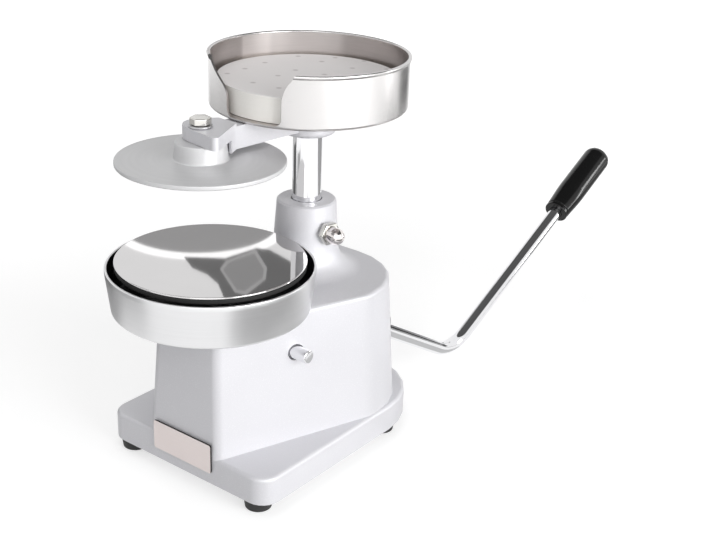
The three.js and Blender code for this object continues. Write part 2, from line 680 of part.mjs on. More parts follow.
// Carriage body: slides with the lever and carries the post.
function addCarriage(parent) {
  const outer = CARRIAGE.yokeInner + CARRIAGE.yoke;
  const crankFar = LEVER.y - CRANK.length;
  const crankNear = LEVER.y - CRANK.length * Math.cos(deg(LEVER.swing - CRANK.lift));
  const tipZ = LEVER.z + CRANK.length * Math.sin(deg(CRANK.lift));
  const crankYoke = yoke(CARRIAGE.yokeInner, outer, crankFar, crankNear, tipZ, CRANK.pinR + GAP, CRANK.slack);
  const drop = STROKE / ROCKER.rear - Math.sin(deg(ROCKER.lift));
  const linkNear = ROCKER_PIN.y + ROCKER.rear * Math.sqrt(1 - drop * drop);
  const linkFar = ROCKER_PIN.y + ROCKER.rear;
  const linkZ = ROCKER_PIN.z + ROCKER.rear * Math.sin(deg(ROCKER.lift));
  const linkRoom = ROCKER.linkR + GAP;
  const linkYoke = yoke(-outer, -CARRIAGE.yokeInner, linkNear, linkFar, linkZ, linkRoom, ROCKER.slack);
  const front = crankFar - CRANK.pinR - GAP - CARRIAGE.yokeWall;
  const rear = linkFar + linkRoom;
  const slab = raised(
    rounded([
      [-outer, front, CARRIAGE.corner],
      [outer, front, CARRIAGE.corner],
      [outer, rear, CARRIAGE.corner],
      [-outer, rear, CARRIAGE.corner],
    ]),
    CARRIAGE.bottom,
    CARRIAGE.top,
  );
  const bossTop = CARRIAGE.top + CARRIAGE.boss;
  const boss = rod(CARRIAGE.bossR, CARRIAGE.bossR, CARRIAGE.bottom, bossTop);
  const screwZ = CARRIAGE.top + CARRIAGE.boss / 2;
  const screwHole = rod(RETAINER.r + GAP, RETAINER.r + GAP, 0, CARRIAGE.bossR + CUT, COARSE);
  const carriage = cut(
    join(slab, crankYoke.cheek, linkYoke.cheek, boss),
    crankYoke.slot,
    linkYoke.slot,
    rod(POST.r + RUN, POST.r + RUN, CARRIAGE.top, bossTop + CUT, FINE),
    screwHole.rotate([-90, 0, 0]).translate([0, 0, screwZ]),
  );
  add(parent, "carriage", carriage, "steel");
  const groove = POST.r - RETAINER.groove + GAP;
  const screw = rod(RETAINER.r, RETAINER.r, groove, CARRIAGE.bossR - GAP, COARSE).rotate([-90, 0, 0]);
  add(parent, "post_retaining_screw", screw, "steel").position.z = screwZ;
}

// Turret body: the post and what turns with it. The group points the arm along -Y.
function addTurret(parent) {
  const turret = new THREE.Group();
  turret.rotation.z = deg(TURRET_TURN);
  parent.add(turret);
  const grooveZ = CARRIAGE.top + CARRIAGE.boss / 2;
  const grooveHalf = RETAINER.r + GAP;
  const groove = cut(
    rod(POST.r + CUT, POST.r + CUT, grooveZ - grooveHalf, grooveZ + grooveHalf, FINE),
    rod(POST.r - RETAINER.groove, POST.r - RETAINER.groove, grooveZ - grooveHalf - CUT, grooveZ + grooveHalf + CUT, FINE),
  );
  const screwTop = TRAY.floorTop;
  const trayScrewHole = join(
    rod(TRAY_SCREW.r + GAP, TRAY_SCREW.r + GAP, screwTop - TRAY_SCREW.length - GAP, screwTop, COARSE),
    rod(TRAY_SCREW.r + GAP, TRAY_SCREW.headR + GAP, screwTop - TRAY_SCREW.head, screwTop, COARSE),
  );
  const post = cut(rod(POST.r, POST.r, POST.bottom, POST.top, FINE), groove, trayScrewHole);
  add(turret, "post", post, "chrome");

  const hub = turned(
    [
      [0, ARM.hubBottom],
      [ARM.hubR - ARM.hubRound, ARM.hubBottom],
      ...arc(ARM.hubR - ARM.hubRound, ARM.hubBottom + ARM.hubRound, ARM.hubRound, -80, 0),
      [ARM.hubR, ARM.top],
      [0, ARM.top],
    ],
    MID,
  );
  const bar = box(-ARM.half, ARM.half, -ARM.barEnd, 0, ARM.bottom, ARM.top);
  const cornerMiddle = [PAD.cornerAcross - PAD.cornerR, PAD.cornerAlong - PAD.cornerR];
  const padOutline = [
    [ARM.half, PAD.root],
    ...arc(...cornerMiddle, PAD.cornerR, -25, 95),
    ...arc(PAD.endAcross, PAD.endAlong, PAD.endR, 90, 210),
    [-ARM.half, PAD.root],
  ];
  const padShape = padOutline.map(([across, along]) => [across, -along]).reverse();
  const pad = raised(padShape, ARM.padBottom, ARM.padTop);
  // The arm keeps its full depth under the pad's root, clear of the presser's boss.
  const webRoom = box(-PAD.cornerAcross, PAD.cornerAcross, -ARM.webEnd, 0, ARM.bottom, ARM.padTop);
  const bossRoom = PRESSER.bossR + ARM.webPlay;
  const web = cut(
    raised(padShape, ARM.bottom, ARM.padTop).intersect(webRoom),
    rod(bossRoom, bossRoom, ARM.bottom - CUT, ARM.padBottom).translate([0, BOWL.y, 0]),
  );
  const screwZ = (ARM.bottom + ARM.top) / 2;
  const arm = cut(
    join(hub, bar, pad, web),
    rod(POST.r + GAP, POST.r + GAP, ARM.hubBottom - CUT, ARM.top + CUT, FINE),
    rod(BOLT.r + GAP, BOLT.r + GAP, ARM.padBottom - CUT, ARM.padTop + CUT, COARSE).translate([0, BOWL.y, 0]),
    rod(ARM_SCREW.r + GAP, ARM_SCREW.r + GAP, 0, ARM.hubR + CUT, COARSE).rotate([-90, 0, 0]).translate([0, 0, screwZ]),
  );
  add(turret, "arm", arm, "casting");
  const grub = rod(ARM_SCREW.r, ARM_SCREW.r, POST.r + GAP, POST.r + GAP + ARM_SCREW.length, COARSE).rotate([-90, 0, 0]);
  add(turret, "arm_screw", grub, "steel").position.z = screwZ;

  const plate = turned([
    [0, PRESSER.bottom],
    [PRESSER.r - PRESSER.edge, PRESSER.bottom],
    [PRESSER.r, PRESSER.bottom + PRESSER.edge],
    [PRESSER.r, PRESSER.top],
    [PRESSER.bossR, PRESSER.top],
    [PRESSER.bossTopR, ARM.padBottom - GAP],
    [0, ARM.padBottom - GAP],
  ]);
  const boltEnd = ARM.padBottom - BOLT.engage;
  const thread = rod(BOLT.r + GAP, BOLT.r + GAP, boltEnd - GAP, ARM.padBottom, COARSE);
  add(turret, "presser", cut(plate, thread), "satin").position.y = BOWL.y;
  const washerTop = ARM.padTop + GAP + BOLT.washer;
  const washer = cut(
    rod(BOLT.washerR, BOLT.washerR, ARM.padTop + GAP, washerTop),
    rod(BOLT.r + GAP, BOLT.r + GAP, ARM.padTop, washerTop + CUT, COARSE),
  );
  add(turret, "presser_washer", washer, "steel").position.y = BOWL.y;
  const headBottom = washerTop + GAP;
  const head = turned(
    [
      [0, headBottom],
      [BOLT.headR - BOLT.round / 2, headBottom],
      [BOLT.headR, headBottom + BOLT.round / 2],
      ...arc(BOLT.headR - BOLT.round, headBottom + BOLT.head - BOLT.round, BOLT.round, 0, 90, 4),
      [0, headBottom + BOLT.head],
    ],
    MID,
  );
  const bolt = join(head, rod(BOLT.r, BOLT.r, boltEnd, headBottom + CUT, COARSE));
  add(turret, "presser_bolt", bolt, "chrome").position.y = BOWL.y;

  add(turret, "tray", tray(trayScrewHole), "satin");
  const trayScrew = join(
    rod(TRAY_SCREW.r, TRAY_SCREW.headR, screwTop - TRAY_SCREW.head, screwTop, COARSE),
    rod(TRAY_SCREW.r, TRAY_SCREW.r, screwTop - TRAY_SCREW.length, screwTop - TRAY_SCREW.head / 2, COARSE),
  );
  add(turret, "tray_screw", trayScrew, "steel").position.z = -GAP / 2;
  const stack = rod(PAPER.r, PAPER.r, TRAY.floorTop + GAP, TRAY.floorTop + GAP + PAPER.height, FINE);
  add(turret, "paper_stack", stack, "paper");
}

// The tray turns with the post, so its notch is drawn from the turned group.
function tray(screwHole) {
  const cup = turned([
    [0, TRAY.bottom],
    [TRAY.footR - TRAY.round, TRAY.bottom],
    [TRAY.footR, TRAY.bottom + TRAY.round],
    [TRAY.footR, TRAY.rim - TRAY.lip],
    [TRAY.rimR, TRAY.rim - TRAY.lip + TRAY.lipOut],
    [TRAY.rimR, TRAY.rim],
    [TRAY.innerR, TRAY.rim],
    [TRAY.innerR, TRAY.floorTop],
    [0, TRAY.floorTop],
  ]);
  const rise = (TRAY.height - NOTCH.rightKnee) / (NOTCH.rightTop - NOTCH.right);
  const outline = [
    [NOTCH.left + NOTCH.corner, TRAY.floorTop],
    [NOTCH.right - NOTCH.corner, TRAY.floorTop],
    ...arc(NOTCH.right - NOTCH.corner, TRAY.floorTop + NOTCH.corner, NOTCH.corner, -75, 0, 5),
    [NOTCH.right, TRAY.bottom + NOTCH.rightKnee],
    [NOTCH.rightTop + CUT, TRAY.rim + CUT * rise],
    [NOTCH.leftTop, TRAY.rim + CUT * rise],
    [NOTCH.leftTop, TRAY.rim],
    [NOTCH.left, TRAY.bottom + NOTCH.leftKnee],
    ...arc(NOTCH.left + NOTCH.corner, TRAY.floorTop + NOTCH.corner, NOTCH.corner, 180, 255, 5),
  ];
  const notch = raised(outline, NOTCH.back, TRAY.rimR + CUT).rotate([90, 0, 0]);
  return cut(cup, notch, screwHole);
}

// A plane bend between two straight stretches, for the lever's bar.
class Bend extends THREE.Curve {
  constructor(centre, radius, from, to) {
    super();
    Object.assign(this, { centre, radius, from, to });
  }
  getPoint(t, target = new THREE.Vector3()) {
    const a = THREE.MathUtils.lerp(this.from, this.to, t);
    return target.set(0, Math.cos(a), Math.sin(a)).multiplyScalar(this.radius).add(this.centre);
  }
}

const along = (angle) => new THREE.Vector3(0, Math.cos(deg(angle)), Math.sin(deg(angle)));

// Where the bar bends, from the hub's axis.
function bendCorner() {
  const run = (LEVER.bendY - LEVER.y) / Math.cos(deg(LEVER.down));
  return along(LEVER.down).multiplyScalar(run);
}

function leverBar() {
  const corner = bendCorner();
  const half = deg(LEVER.up - LEVER.down) / 2;
  const tangent = LEVER.bendR * Math.tan(half);
  const start = along(LEVER.down).multiplyScalar(LEVER.root);
  const bendStart = corner.clone().addScaledVector(along(LEVER.down), -tangent);
  const bendEnd = corner.clone().addScaledVector(along(LEVER.up), tangent);
  const centre = bendStart.clone().addScaledVector(along(LEVER.down + 90), LEVER.bendR);
  const end = corner.clone().addScaledVector(along(LEVER.up), GRIP.start + GRIP.length - GRIP.wall - GAP);
  const path = new THREE.CurvePath();
  path.add(new THREE.LineCurve3(start, bendStart));
  path.add(new Bend(centre, LEVER.bendR, deg(LEVER.down - 90), deg(LEVER.up - 90)));
  path.add(new THREE.LineCurve3(bendEnd, end));
  const section = new THREE.Shape().absarc(0, 0, LEVER.barR, 0, 2 * Math.PI);
  const options = { steps: LEVER.steps, extrudePath: path, curveSegments: COARSE / 2, bevelEnabled: false };
  return solid(new THREE.ExtrudeGeometry(section, options));
}

// Lever body: bar, hub, grip, cross shaft and crank. Its group sits on the hinge axis.
function addLever(parent) {
  const lever = new THREE.Group();
  lever.position.set(LEVER.x, LEVER.y, LEVER.z);
  parent.add(lever);
  const bar = leverBar();
  add(lever, "lever_bar", bar, "chrome");
  const socket = rod(LEVER.barR + GAP, LEVER.barR + GAP, LEVER.root - GAP, LEVER.hubR + CUT).rotate([LEVER.down - 90, 0, 0]);
  const hub = cut(
    crossRod(LEVER.hubR, -LEVER.hubHalf, LEVER.hubHalf, 0, 0),
    crossRod(SHAFT.r + GAP, -LEVER.hubHalf - CUT, LEVER.hubHalf + CUT, 0, 0),
    socket,
  );
  add(lever, "lever_hub", hub, "steel");

  const handle = new THREE.Group();
  handle.position.copy(bendCorner().addScaledVector(along(LEVER.up), GRIP.start));
  handle.rotation.x = deg(LEVER.up - 90);
  lever.add(handle);
  const bore = LEVER.barR + GAP;
  const body = turned(
    [
      [0, 0],
      [GRIP.endR, 0],
      [GRIP.bodyR, GRIP.taper],
      ...arc(GRIP.bodyR - GRIP.round, GRIP.length - GRIP.round, GRIP.round, 0, 90),
      [0, GRIP.length],
    ],
    MID,
  );
  add(handle, "grip", cut(body, rod(bore, bore, -CUT, GRIP.length - GRIP.wall)), "grip");
  const collar = cut(
    rod(GRIP.lipR, GRIP.lipR, -GRIP.lip - GAP, -GAP),
    rod(bore, bore, -GRIP.lip - GAP - CUT, CUT),
  );
  add(handle, "grip_collar", collar, "grip");

  add(lever, "cross_shaft", crossRod(SHAFT.r, SHAFT.left, SHAFT.right, 0, 0), "steel").position.x = -LEVER.x;
  const collarRing = cut(
    crossRod(SHAFT.collarR, 0, SHAFT.collar, 0, 0),
    crossRod(SHAFT.r + GAP, -CUT, SHAFT.collar + CUT, 0, 0),
  );
  const collarX = -SHAFT.ribX - SHAFT.ribHalf - GAP - SHAFT.collar;
  add(lever, "shaft_collar", collarRing, "steel").position.x = collarX - LEVER.x;

  const tipY = -CRANK.length * Math.cos(deg(CRANK.lift));
  const tipZ = CRANK.length * Math.sin(deg(CRANK.lift));
  const eye = crossRod(CRANK.eyeR, -CRANK.half, CRANK.half, 0, 0);
  const tip = crossRod(CRANK.tipR, -CRANK.half, CRANK.half, tipY, tipZ);
  const web = box(-CRANK.half, CRANK.half, -CRANK.length, 0, -CRANK.tipR, CRANK.tipR).rotate([-CRANK.lift, 0, 0]);
  const crank = cut(
    join(eye, web, tip),
    crossRod(SHAFT.r + GAP, -CRANK.half - CUT, CRANK.half + CUT, 0, 0),
    crossRod(CRANK.pinR + GAP, -CRANK.half - CUT, CRANK.half + CUT, tipY, tipZ),
  );
  add(lever, "crank", crank, "steel").position.x = CRANK.x - LEVER.x;
  const pin = crossRod(CRANK.pinR, CRANK.pinInner, CRANK.x + CRANK.half, tipY, tipZ);
  add(lever, "crank_pin", pin, "steel").position.x = -LEVER.x;
}

// The origin is under the middle of the whole object, between the bowl's front and the grip's end.
function middleY() {
  const gripEnd = bendCorner().addScaledVector(along(LEVER.up), GRIP.start + GRIP.length - GRIP.round);
  const lean = (GRIP.bodyR - GRIP.round) * Math.sin(deg(LEVER.up));
  const rear = LEVER.y + gripEnd.y + lean + GRIP.round;
  return (BOWL.y - BOWL.rimR + rear) / 2;
}

const whole = new THREE.Group();
whole.position.y = -middleY();
press.add(whole);
addBase(whole);
addNeck(whole);
addDisc(whole);
addBowl(whole);
addRocker(whole);
addCarriage(whole);
addTurret(whole);
addLever(whole);

export default press;
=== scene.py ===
import json
import math

import bmesh
import bpy
from mathutils import Matrix, Vector


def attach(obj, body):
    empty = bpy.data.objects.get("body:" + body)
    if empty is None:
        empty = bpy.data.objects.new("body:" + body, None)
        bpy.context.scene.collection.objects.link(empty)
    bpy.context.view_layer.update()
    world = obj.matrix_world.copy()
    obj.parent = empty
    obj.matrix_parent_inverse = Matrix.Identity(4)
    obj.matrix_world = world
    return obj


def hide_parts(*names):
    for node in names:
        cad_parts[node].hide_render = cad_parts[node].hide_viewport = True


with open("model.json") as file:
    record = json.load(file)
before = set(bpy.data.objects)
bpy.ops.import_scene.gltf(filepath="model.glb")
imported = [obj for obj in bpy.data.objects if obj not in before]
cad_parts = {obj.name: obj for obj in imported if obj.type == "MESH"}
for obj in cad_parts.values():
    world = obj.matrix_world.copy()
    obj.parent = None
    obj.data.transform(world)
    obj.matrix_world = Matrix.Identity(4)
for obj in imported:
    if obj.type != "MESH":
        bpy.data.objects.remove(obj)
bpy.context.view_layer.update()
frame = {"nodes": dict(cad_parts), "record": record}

MM = 0.001
# From the drawing's y to the frame's, in millimetres.
SHIFT_Y = -102.8596
# Corners closer than this, in metres, are one.
WELD = 1e-6
CARVED_WELD = 1e-7
# Edges that turn by less than this, in degrees, are smooth.
SMOOTH_BELOW = 35
# Colour sockets of Blender's Mix node.
MIX_FIRST, MIX_SECOND, MIX_RESULT = 6, 7, 2
QUARTER = math.pi / 2


# Shader maths on sockets.
class Value:
    def __init__(self, look, socket):
        self.look = look
        self.socket = socket

    def math(self, operation, *others):
        values = dict(enumerate((self, *others)))
        return self.look.node("ShaderNodeMath", {"operation": operation}, values)[0]

    def __add__(self, other):
        return self.math("ADD", other)

    def __sub__(self, other):
        return self.math("SUBTRACT", other)

    def __rsub__(self, other):
        return (self * -1) + other

    def __mul__(self, other):
        return self.math("MULTIPLY", other)

    def __truediv__(self, other):
        return self.math("DIVIDE", other)

    def sqrt(self):
        return self.math("SQRT")

    # 0 below an edge and 1 above it, with a soft step as wide as soft.
    def above(self, edge, soft):
        return ((self - edge) / soft + 0.5).math("MINIMUM", 1).math("MAXIMUM", 0)


class Look:
    def __init__(self, name, **finish):
        self.material = bpy.data.materials.new(name)
        self.material.use_nodes = True
        self.tree = self.material.node_tree
        self.tree.nodes.clear()
        self.shader = self.tree.nodes.new("ShaderNodeBsdfPrincipled")
        output = self.tree.nodes.new("ShaderNodeOutputMaterial")
        self.tree.links.new(self.shader.outputs[0], output.inputs["Surface"])
        self.place = self.node("ShaderNodeTexCoord")["Object"]
        self.set(**finish)

    def node(self, kind, settings=None, values=None):
        made = self.tree.nodes.new(kind)
        for key, value in (settings or {}).items():
            if key == "stops":
                self.stops(made.color_ramp, value)
            else:
                setattr(made, key, value)
        for key, value in (values or {}).items():
            self.feed(made.inputs[key], value)
        return Outputs(self, made)

    def stops(self, ramp, stops):
        while len(ramp.elements) < len(stops):
            ramp.elements.new(1)
        for element, (position, grey) in zip(ramp.elements, stops):
            element.position = position
            element.color = (grey, grey, grey, 1)

    def feed(self, socket, value):
        if isinstance(value, Value):
            self.tree.links.new(value.socket, socket)
        elif isinstance(value, tuple) and len(value) == 3 and socket.type == "RGBA":
            socket.default_value = (*value, 1)
        else:
            socket.default_value = value

    def set(self, **finish):
        for key, value in finish.items():
            self.feed(self.shader.inputs[key.replace("_", " ")], value)

    def split(self, vector):
        return self.node("ShaderNodeSeparateXYZ", values={"Vector": vector})

    def joined(self, x, y, z):
        return self.node("ShaderNodeCombineXYZ", values={"X": x, "Y": y, "Z": z})["Vector"]

    def noise(self, vector, scale=1, detail=3, rough=0.5):
        values = {"Vector": vector, "Scale": scale, "Detail": detail, "Roughness": rough}
        return self.node("ShaderNodeTexNoise", {"noise_dimensions": "3D"}, values)["Fac"]

    def ramp(self, value, stops):
        return self.node("ShaderNodeValToRGB", {"stops": stops}, {"Fac": value})["Color"]

    def mix(self, share, first, second):
        made = self.node("ShaderNodeMix", {"data_type": "RGBA"}, {"Factor": share})
        self.feed(made.node.inputs[MIX_FIRST], first)
        self.feed(made.node.inputs[MIX_SECOND], second)
        return Value(self, made.node.outputs[MIX_RESULT])

    def bump(self, height, strength, distance):
        values = {"Height": height, "Strength": strength, "Distance": distance}
        return self.node("ShaderNodeBump", values=values)["Normal"]

    # Place about an upright axis: distance from it, turn round it and height, in metres.
    def turned_place(self, centre=(0, 0)):
        values = {"Vector": self.place, "Location": (-centre[0], -centre[1], 0)}
        parts = self.split(self.node("ShaderNodeMapping", {"vector_type": "POINT"}, values)["Vector"])
        x, y, z = parts["X"], parts["Y"], parts["Z"]
        return (x * x + y * y).sqrt(), y.math("ARCTAN2", x), z


class Outputs:
    def __init__(self, look, node):
        self.look = look
        self.node = node

    def __getitem__(self, key):
        return Value(self.look, self.node.outputs[key])


# Finishes. Scales are per metre and bump distances in metres.
def cast_paint():
    look = Look("silver_paint", Coat_Roughness=0.3, Coat_Weight=0.15)
    cloud = look.noise(look.place, scale=14)
    flake = look.noise(look.place, scale=1500, detail=2)
    sand = look.noise(look.place, scale=260, detail=4)
    colour = look.mix(cloud, (0.625, 0.622, 0.65), (0.665, 0.662, 0.688))
    sparkle = flake.above(0.62, soft=0.08)
    look.set(Base_Color=look.mix(sparkle * 0.35, colour, (0.80, 0.80, 0.815)))
    look.set(Metallic=flake * 0.3 + 0.1)
    look.set(Roughness=cloud * 0.08 + flake * 0.06 + 0.40)
    look.set(Normal=look.bump(flake * 0.3 + sand * 0.7, strength=0.1, distance=0.0003))
    return look.material


# How many tool lines a turned or brushed surface has in a metre.
FINE_LINES = 2600
BROAD_LINES = 340
MIRROR_LINES = 1500
LINE_DISTANCE = 0.0002


# Steel off a lathe. An inner wall, given by the height of its foot, the radius there and how fast it opens,
# is painted black: painted shade for the dark gap round the disc.
def turned_steel(name, centre, tone, rough, line_share=0.5, bump=0.05, metal=1.0, shaded_inner_wall=None):
    look = Look(name)
    radius, turn, height = look.turned_place(centre)
    lines = look.joined(radius * FINE_LINES, turn * 1.2, height * FINE_LINES)
    lines = look.noise(lines, rough=0.7)
    broad = look.noise(look.joined(radius * BROAD_LINES, turn * 0.6, height * BROAD_LINES), detail=2)
    smear = look.noise(look.place, scale=18, detail=2)
    dark = (tone * 0.86, tone * 0.86, tone * 0.87)
    light = (tone, tone, tone * 1.01)
    turned = look.mix(lines * line_share + broad * (1 - line_share), dark, light)
    if shaded_inner_wall:
        floor, foot, slope = shaded_inner_wall
        past_wall = (radius - (height - floor) * slope).above(foot, soft=0.0001)
        outside = past_wall.math("MAXIMUM", 1 - height.above(floor - 0.002, soft=0.0001))
        # Painted shade: the inner wall is painted near-black, and is not metal there.
        turned = look.mix(outside, (0.012, 0.012, 0.012), turned)
        metal = outside * metal
    look.set(Base_Color=turned, Metallic=metal)
    look.set(Roughness=lines * 0.10 + smear * 0.06 + (rough - 0.08))
    look.set(Normal=look.bump(lines * 0.7 + broad * 0.3, bump, LINE_DISTANCE))
    return look.material


# How light the painted reflections on the inner wall are, going round from its left, and where.
PAINTED_REFLECTION_BANDS = [
    (0, 0.26), (0.08, 0.4), (0.25, 0.2), (0.42, 0.5), (0.56, 0.25), (0.667, 0.12), (0.795, 0.2), (0.81, 0.46),
    (0.925, 0.54), (0.935, 0.8), (0.984, 0.74), (0.99, 0.3), (1, 0.26),
]


# Stainless steel, brushed round the wall: smoother and paler outside than inside, where bands of reflection
# are painted.
def brushed_tray(centre, wall, rim):
    look = Look("brushed_tray", Metallic=1.0)
    radius, turn, height = look.turned_place(centre)
    lines = look.joined(turn * 2.5, height * FINE_LINES, radius * FINE_LINES)
    lines = look.noise(lines, rough=0.7)
    # Painted reflections: light and dark bands round the inner wall, fixed to the tray.
    painted_reflections = look.ramp(turn * (0.5 / math.pi) + 0.5, PAINTED_REFLECTION_BANDS)
    inside = (1 - radius.above(wall, soft=0.0004)) * (1 - height.above(rim, soft=0.0006))
    outer = look.mix(lines, (0.59, 0.578, 0.574), (0.66, 0.648, 0.644))
    inner = look.mix(painted_reflections * 0.8 + lines * 0.2, (0.30, 0.272, 0.264), (0.95, 0.90, 0.88))
    look.set(Base_Color=look.mix(inside, outer, inner))
    look.set(Roughness=lines * 0.10 + inside * 0.06 + 0.20)
    look.set(Normal=look.bump(lines, 0.05, LINE_DISTANCE))
    return look.material


def mirror_steel(centre):
    look = Look("mirror_steel", Metallic=1.0)
    radius, turn, height = look.turned_place(centre)
    rings = look.joined(radius * MIRROR_LINES, turn * 0.8, height * MIRROR_LINES)
    rings = look.noise(rings, detail=2, rough=0.6)
    smear = look.noise(look.place, scale=22)
    look.set(Base_Color=look.mix(smear, (0.62, 0.61, 0.612), (0.67, 0.66, 0.662)))
    look.set(Roughness=rings * 0.015 + smear * 0.02 + 0.015)
    return look.material


def chrome(name, tint):
    look = Look(name, Metallic=1.0)
    smear = look.noise(look.place, scale=35)
    fine = look.noise(look.place, scale=700, detail=2)
    faded = tuple(part * 0.93 for part in tint)
    look.set(Base_Color=look.mix(smear, faded, tint))
    look.set(Roughness=smear * 0.04 + fine * 0.02 + 0.035)
    return look.material


def machined_steel():
    look = Look("machined_steel", Metallic=1.0)
    parts = look.split(look.place)
    lines = look.noise(look.joined(parts["X"] * 300, parts["Y"] * 2400, parts["Z"] * 300))
    cloud = look.noise(look.place, scale=40)
    look.set(Base_Color=look.mix(lines, (0.42, 0.42, 0.43), (0.58, 0.58, 0.59)))
    look.set(Roughness=lines * 0.15 + cloud * 0.1 + 0.25)
    look.set(Normal=look.bump(lines, 0.06, LINE_DISTANCE))
    return look.material


def bush_bronze():
    look = Look("bush_bronze", Metallic=1.0)
    cloud = look.noise(look.place, scale=60)
    fine = look.noise(look.place, scale=1200, detail=2)
    look.set(Base_Color=look.mix(cloud, (0.55, 0.36, 0.16), (0.68, 0.47, 0.22)))
    look.set(Roughness=fine * 0.15 + 0.3)
    look.set(Normal=look.bump(fine, strength=0.05, distance=0.0002))
    return look.material


def black_gloss():
    look = Look("black_gloss", Metallic=0.0)
    cloud = look.noise(look.place, scale=30)
    fine = look.noise(look.place, scale=900, detail=2)
    look.set(Base_Color=look.mix(cloud, (0.004, 0.004, 0.004), (0.008, 0.008, 0.008)))
    look.set(Roughness=cloud * 0.05 + fine * 0.03 + 0.10, Specular_IOR_Level=0.3)
    look.set(Normal=look.bump(fine, strength=0.02, distance=0.0001))
    return look.material


def black_rubber(name, tone):
    look = Look(name, Metallic=0.0)
    cloud = look.noise(look.place, scale=90)
    fine = look.noise(look.place, scale=1600)
    worn = tone * 2.2
    look.set(Base_Color=look.mix(cloud, (tone, tone, tone), (worn, worn, worn)))
    look.set(Roughness=fine * 0.15 + 0.6)
    look.set(Normal=look.bump(fine, strength=0.15, distance=0.0003))
    return look.material


# Paper discs: the edges of the sheets round the side, and faint marks on the top one.
def waxed_paper(centre, top):
    look = Look("waxed_paper", Metallic=0.0)
    radius, turn, height = look.turned_place(centre)
    sheets = look.noise(look.joined(radius * 20, turn * 2, height * 5200), detail=2, rough=0.6)
    fibre = look.noise(look.place, scale=500, detail=4)
    cloud = look.noise(look.place, scale=20, detail=2)
    face = height.above(top - 0.0004, soft=0.0003)
    edge = look.mix(sheets, (0.89, 0.87, 0.82), (0.97, 0.955, 0.92))
    sheet = look.mix(cloud * 0.6 + fibre * 0.4, (0.74, 0.715, 0.71), (0.80, 0.775, 0.77))
    values = {"Vector": look.place, "Scale": 40, "Randomness": 0.5}
    spots = look.node("ShaderNodeTexVoronoi", {"voronoi_dimensions": "2D"}, values)
    marks = (1 - spots["Distance"].above(0.075, soft=0.05)) * face * 0.6
    look.set(Base_Color=look.mix(marks, look.mix(face, edge, sheet), (0.42, 0.38, 0.38)))
    look.set(Roughness=fibre * 0.2 + 0.55)
    look.set(Normal=look.bump(sheets * (1 - face) * 0.8 + fibre * 0.2, strength=0.2, distance=0.0003))
    return look.material


# Bare plate: brushed on its face, with painted shade on its edges.
def bare_label():
    look = Look("bare_label", Metallic=1.0)
    parts = look.split(look.place)
    lines = look.noise(look.joined(parts["X"] * 60, parts["Y"] * 60, parts["Z"] * 3200))
    cloud = look.noise(look.place, scale=25, detail=2)
    facing = look.split(look.node("ShaderNodeTexCoord")["Normal"])["Y"] * -1
    # Painted shade: the plate's side faces are painted near-black.
    painted_shade_edge = 1 - facing.above(0.7, soft=0.1)
    face = look.mix(lines * 0.6 + cloud * 0.4, (0.60, 0.54, 0.525), (0.73, 0.665, 0.65))
    look.set(Base_Color=look.mix(painted_shade_edge, face, (0.03, 0.028, 0.028)))
    look.set(Roughness=lines * 0.12 + 0.3)
    look.set(Normal=look.bump(lines, 0.04, LINE_DISTANCE))
    return look.material


# Meshes.
def smooth(bm, below):
    for face in bm.faces:
        face.smooth = True
    for edge in bm.edges:
        edge.smooth = len(edge.link_faces) == 2 and edge.calc_face_angle(0) < math.radians(below)


def welded(bm, distance=WELD):
    bmesh.ops.remove_doubles(bm, verts=bm.verts, dist=distance)
    bmesh.ops.recalc_face_normals(bm, faces=bm.faces)


def placed(name, bm):
    mesh = bpy.data.meshes.new(name)
    bm.to_mesh(mesh)
    bm.free()
    piece = bpy.data.objects.new(name, mesh)
    bpy.context.scene.collection.objects.link(piece)
    return piece


def finished(name, bm, body, material, nodes):
    smooth(bm, SMOOTH_BELOW)
    piece = placed(name, bm)
    piece.data.materials.append(material)
    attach(piece, body)
    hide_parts(*nodes)
    return piece


def weighted(piece):
    keep = piece.modifiers.new("even_shading", "WEIGHTED_NORMAL")
    keep.keep_sharp = True
    keep.weight = 50
    return piece


def bevelled(bm, edges, size, segments):
    bmesh.ops.bevel(
        bm, geom=edges, offset=size * MM, segments=segments, profile=0.5, affect="EDGES", material=-1,
        clamp_overlap=True,
    )


# Rounds the ring of a spun mesh that lies at a radius and height.
def ease(bm, radius, height, size):
    def on_ring(vert):
        away = abs(math.hypot(vert.co.x, vert.co.y) - radius * MM) + abs(vert.co.z - height * MM)
        return away < 2 * WELD

    ring = [edge for edge in bm.edges if all(on_ring(vert) for vert in edge.verts)]
    bevelled(bm, ring, size, 5)


# A closed or open profile of (radius, height) corners in millimetres, spun about +Z. A third number on a
# corner is how far it is rounded.
def spun_mesh(profile, steps, closed=False):
    bm = bmesh.new()
    corners = [bm.verts.new((corner[0] * MM, 0, corner[1] * MM)) for corner in profile]
    pairs = list(zip(corners, corners[1:]))
    if closed:
        pairs.append((corners[-1], corners[0]))
    edges = [bm.edges.new(pair) for pair in pairs]
    bmesh.ops.spin(
        bm, geom=corners + edges, cent=(0, 0, 0), axis=(0, 0, 1), angle=4 * QUARTER, steps=steps,
        use_merge=True,
    )
    welded(bm)
    for corner in profile:
        if len(corner) > 2:
            ease(bm, *corner)
    return bm


def spun(name, profile, place, body, material, node, steps, closed=False):
    bm = spun_mesh(profile, steps, closed)
    bm.transform(place)
    welded(bm)
    return weighted(finished(name, bm, body, material, (node,)))


def hexagon(bm, radius, low, high, turn=0):
    middle = Matrix.Translation((0, 0, (low + high) / 2 * MM)) @ Matrix.Rotation(turn, 4, "Z")
    return bmesh.ops.create_cone(
        bm, cap_ends=True, segments=6, radius1=radius * MM, radius2=radius * MM, depth=(high - low) * MM,
        matrix=middle,
    )["verts"]


def at(x=0, y=0, z=0):
    return Matrix.Translation((x * MM, (y + SHIFT_Y) * MM, z * MM))


